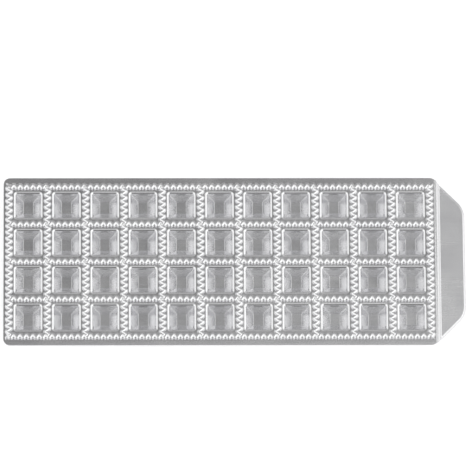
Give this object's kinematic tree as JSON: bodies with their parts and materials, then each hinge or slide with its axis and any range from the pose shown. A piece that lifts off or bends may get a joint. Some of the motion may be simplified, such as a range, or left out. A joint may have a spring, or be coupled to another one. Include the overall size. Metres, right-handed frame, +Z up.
{
  "type": "ravioli mold",
  "caption": "Cast aluminium ravioli mould: a tray of stepped square pockets with wavy cutting ridges between them and a flat hand tab at one end.",
  "frame": {"origin": "centre of the bounding box, on the plane that the pocket bottoms stand on", "axes": "+X along the tray towards the hand tab, +Y across it, +Z up out of the pockets"},
  "size_m": [0.3404, 0.1264, 0.013],
  "materials": {
    "cast_aluminium": "polished casting"
  },
  "bodies": {
    "root": {"mould_tray": "cast_aluminium"}
  },
  "joints": []
}
